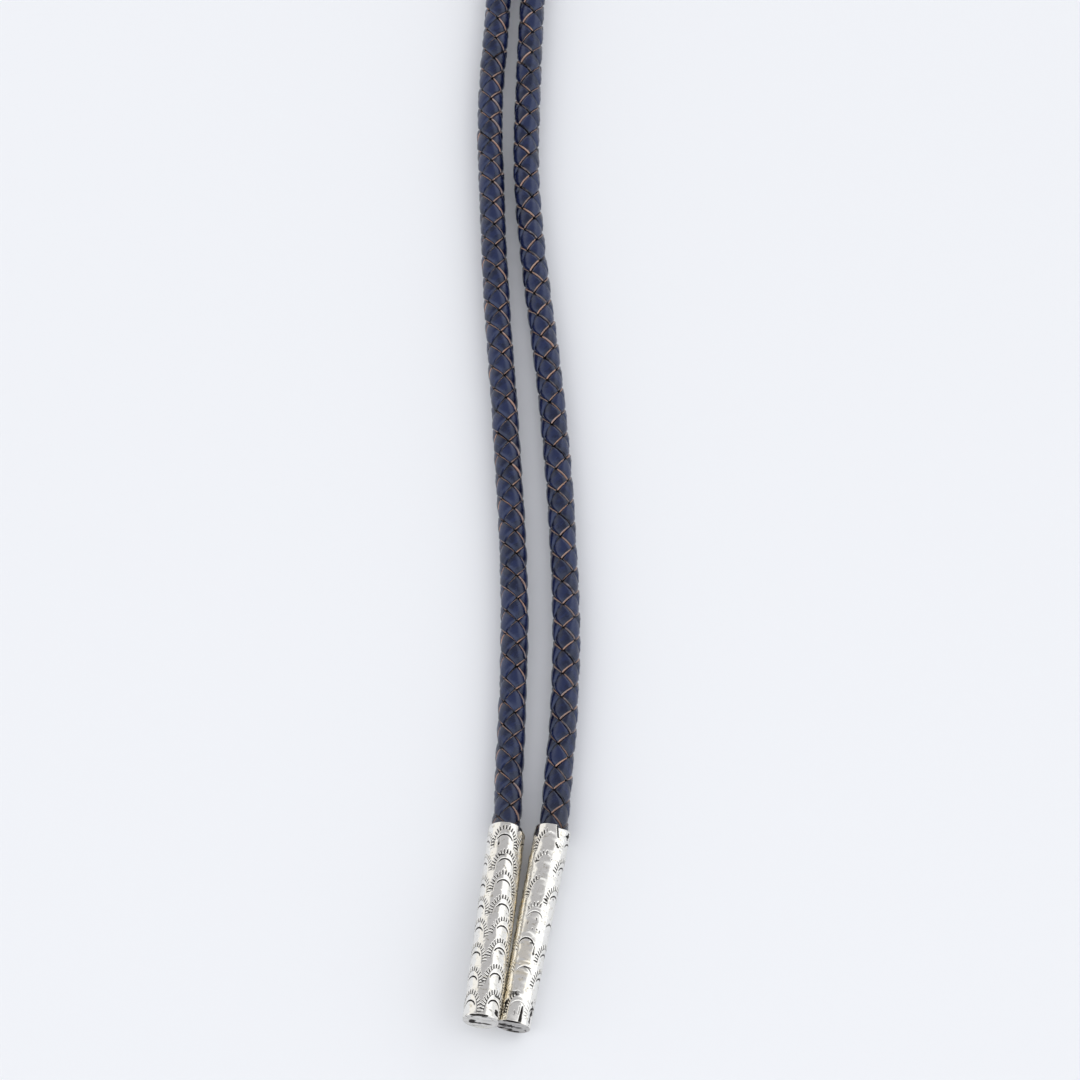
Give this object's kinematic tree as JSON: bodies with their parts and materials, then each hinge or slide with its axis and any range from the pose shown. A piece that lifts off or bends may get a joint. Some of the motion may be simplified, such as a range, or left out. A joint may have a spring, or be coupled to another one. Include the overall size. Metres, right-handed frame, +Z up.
{
  "type": "bolo tie",
  "caption": "Bolo tie laid flat: a braided leather cord in a neck loop, an oval slide that grips it and stamped silver tips on its ends.",
  "frame": {"origin": "middle of the box round the slide and both tips, on the surface that the tie lies on; the free cord is left out of that box", "axes": "+X across the tie to the right, +Y along it from the tips to the neck loop, +Z up off the surface, out of the slide's face"},
  "size_m": [0.0703, 0.5018, 0.0123],
  "materials": {
    "navy_leather": "soft sheen, tan cut edges",
    "stamped_silver": "bright silver with dark oxidised stamping",
    "polished_silver": "plain polished silver"
  },
  "bodies": {
    "root": {"cord": "navy_leather", "tip_left": "stamped_silver", "tip_right": "stamped_silver", "slide": "polished_silver"}
  },
  "joints": []
}
